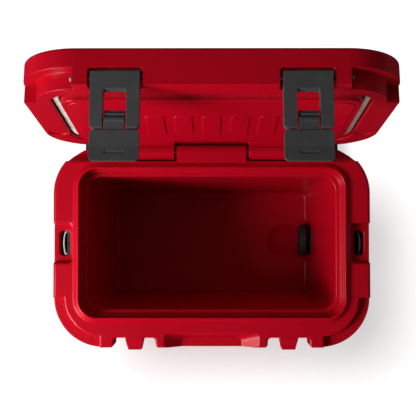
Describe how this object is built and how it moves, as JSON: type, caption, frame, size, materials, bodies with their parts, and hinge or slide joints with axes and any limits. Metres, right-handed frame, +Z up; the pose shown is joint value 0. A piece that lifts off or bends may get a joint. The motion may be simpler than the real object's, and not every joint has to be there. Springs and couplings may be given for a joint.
{
  "type": "wheeled cooler",
  "caption": "Hard-sided insulated cooler with a hinged latching lid, rear wheels, a telescoping tow handle and a side drain.",
  "frame": {"origin": "middle of the footprint at rest, lid open and handle stowed, at floor level", "axes": "+X to the drain end, +Y to the back where the hinge, wheels and handle are, +Z up"},
  "size_m": [0.514, 0.4267, 0.7502],
  "materials": {
    "tub_skin": "satin",
    "lid_skin": "satin",
    "foam": "matte",
    "gasket": "matte",
    "steel": "satin",
    "latch_plastic": "satin",
    "black_plastic": "matte",
    "rubber": "matte",
    "handle_tube": "satin",
    "button_plastic": "satin",
    "wheel_plastic": "satin",
    "tyre": "matte",
    "bushing": "satin"
  },
  "bodies": {
    "tub": {"tub_shell": "tub_skin", "tub_foam": "foam", "hinge_pin_left": "steel", "hinge_pin_right": "steel", "drain_flange": "black_plastic", "drain_gasket": "rubber", "drain_nut": "black_plastic", "strap_anchor_left": "steel", "strap_anchor_right": "steel", "anchor_pad_left": "black_plastic", "anchor_pad_right": "black_plastic", "anchor_screws": "steel", "axle": "steel", "axle_washers": "steel", "axle_caps": "black_plastic", "axle_carrier": "black_plastic", "handle_sleeves": "handle_tube", "handle_bracket": "black_plastic", "back_screws": "steel", "foot_left": "rubber", "foot_right": "rubber", "foot_screws": "steel"},
    "lid": {"lid_shell": "lid_skin", "lid_foam": "foam", "lid_gasket": "gasket", "latch_pin_left": "steel", "latch_pin_right": "steel"},
    "latch_left": {"latch_frame_left": "latch_plastic", "lever_pin_left": "steel"},
    "latch_right": {"latch_frame_right": "latch_plastic", "lever_pin_right": "steel"},
    "lever_left": {"latch_lever_left": "latch_plastic"},
    "lever_right": {"latch_lever_right": "latch_plastic"},
    "plug_seals": {"drain_seals": "rubber"},
    "plug": {"drain_plug": "black_plastic"},
    "handle_mid": {"handle_mid_tubes": "handle_tube", "handle_mid_collar": "black_plastic"},
    "handle_top": {"handle_inner_tubes": "handle_tube", "handle_grip": "black_plastic", "button_spring": "steel"},
    "button": {"handle_button": "button_plastic"},
    "wheel_left": {"wheel_hub_left": "wheel_plastic", "tyre_left": "tyre", "wheel_bushing_left": "bushing"},
    "wheel_right": {"wheel_hub_right": "wheel_plastic", "tyre_right": "tyre", "wheel_bushing_right": "bushing"}
  },
  "joints": [
    {"name": "lid_hinge", "type": "hinge", "parent": "tub", "child": "lid", "pos_m": [0, 0.1045, 0.42], "axis": [1, 0, 0], "range_deg": [0, 98]},
    {"name": "latch_left_hinge", "type": "hinge", "parent": "lid", "child": "latch_left", "pos_m": [-0.1237, 0.1731, 0.72492], "axis": [-1, 0, 0], "range_deg": [0, 105]},
    {"name": "lever_left_hinge", "type": "hinge", "parent": "latch_left", "child": "lever_left", "pos_m": [-0.1237, 0.11779, 0.7337], "axis": [-1, 0, 0], "range_deg": [0, 95]},
    {"name": "latch_right_hinge", "type": "hinge", "parent": "lid", "child": "latch_right", "pos_m": [0.1237, 0.1731, 0.72492], "axis": [-1, 0, 0], "range_deg": [0, 105]},
    {"name": "lever_right_hinge", "type": "hinge", "parent": "latch_right", "child": "lever_right", "pos_m": [0.1237, 0.11779, 0.7337], "axis": [-1, 0, 0], "range_deg": [0, 95]},
    {"name": "plug_slide", "type": "slide", "parent": "tub", "child": "plug_seals", "axis": [1, 0, 0], "range_m": [0, 0.024]},
    {"name": "plug_turn", "type": "hinge", "parent": "plug_seals", "child": "plug", "pos_m": [0.226, -0.0411, 0.103], "axis": [1, 0, 0], "range_deg": [0, 1081]},
    {"name": "handle_lower_slide", "type": "slide", "parent": "tub", "child": "handle_mid", "axis": [0, 0.1392, 0.9903], "range_m": [0, 0.225]},
    {"name": "handle_upper_slide", "type": "slide", "parent": "handle_mid", "child": "handle_top", "axis": [0, 0.1392, 0.9903], "range_m": [0, 0.225]},
    {"name": "button_slide", "type": "slide", "parent": "handle_top", "child": "button", "axis": [0, -0.1392, -0.9903], "range_m": [0, 0.0035], "stiffness_N_per_m": 400, "springref_m": -0.003},
    {"name": "wheel_left_spin", "type": "hinge", "parent": "tub", "child": "wheel_left", "pos_m": [-0.221, 0.126, 0.076], "axis": [1, 0, 0], "continuous": true},
    {"name": "wheel_right_spin", "type": "hinge", "parent": "tub", "child": "wheel_right", "pos_m": [0.221, 0.126, 0.076], "axis": [1, 0, 0], "continuous": true}
  ],
  "couplings": [
    {"joint": "plug_turn", "follows": "plug_slide", "rad_per_m": 785.39}
  ]
}
